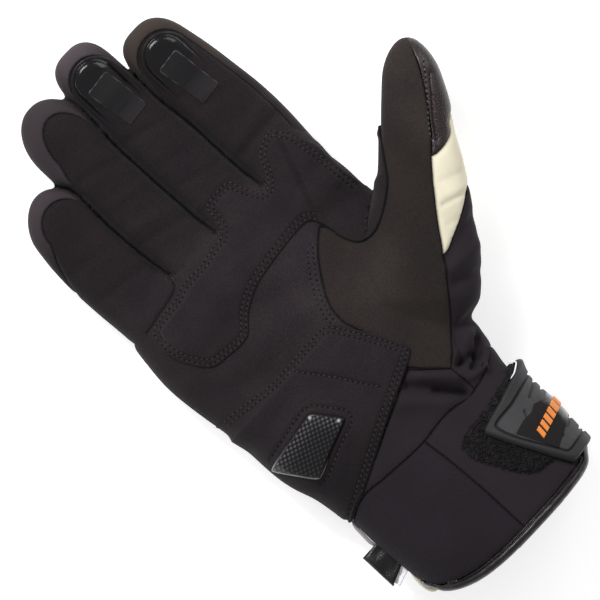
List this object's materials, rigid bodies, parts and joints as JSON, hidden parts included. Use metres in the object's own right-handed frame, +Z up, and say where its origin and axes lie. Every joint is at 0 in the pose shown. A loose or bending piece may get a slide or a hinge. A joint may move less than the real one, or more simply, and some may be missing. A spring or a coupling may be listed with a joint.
{
  "type": "winter motorcycle glove",
  "caption": "Padded right-hand winter motorcycle glove with a flared cuff, lying palm up: suede palm patches, hard palm slider, cream thumb panel and a moulded wrist strap.",
  "frame": {"origin": "on the surface that the glove rests on, under the middle of the palm", "axes": "+Y from the cuff to the fingertips, +X to the thumb, +Z up out of the palm"},
  "size_m": [0.1745, 0.2735, 0.0566],
  "materials": {
    "suede": "black napped suede",
    "softshell": "black softshell knit",
    "thumb_suede": "olive-black napped suede",
    "leather": "black grained leather, half gloss",
    "cream_fabric": "cream woven fabric",
    "stretch_twill": "black fine twill",
    "gloss_film": "high gloss black film",
    "pad_rubber": "satin black rubber",
    "slider_plastic": "glossy black with a pale woven pattern",
    "moulded_rubber": "matt dark grey moulded rubber",
    "orange_rubber": "satin orange",
    "loop_pile": "black loop pile",
    "white_label": "pale plain tape"
  },
  "bodies": {
    "root": {"hand_back": "softshell", "palm_panel": "suede", "palm_patch": "suede", "heel_patch": "suede", "palm_slider": "slider_plastic", "thumb_panel": "thumb_suede", "thumb_leather": "leather", "thumb_cream_panel": "cream_fabric", "thumb_side_panel": "softshell", "wrist_gusset": "softshell", "index_tip_cover": "gloss_film", "middle_tip_cover": "gloss_film", "index_tip_pad": "pad_rubber", "middle_tip_pad": "pad_rubber", "cuff_panel": "softshell", "cuff_stretch_panel": "stretch_twill", "cuff_binding": "leather", "loop_patch": "loop_pile", "strap_tab": "moulded_rubber", "strap_mark": "orange_rubber", "sewn_strap": "softshell", "side_tag": "leather", "tag_label": "white_label"}
  },
  "joints": []
}
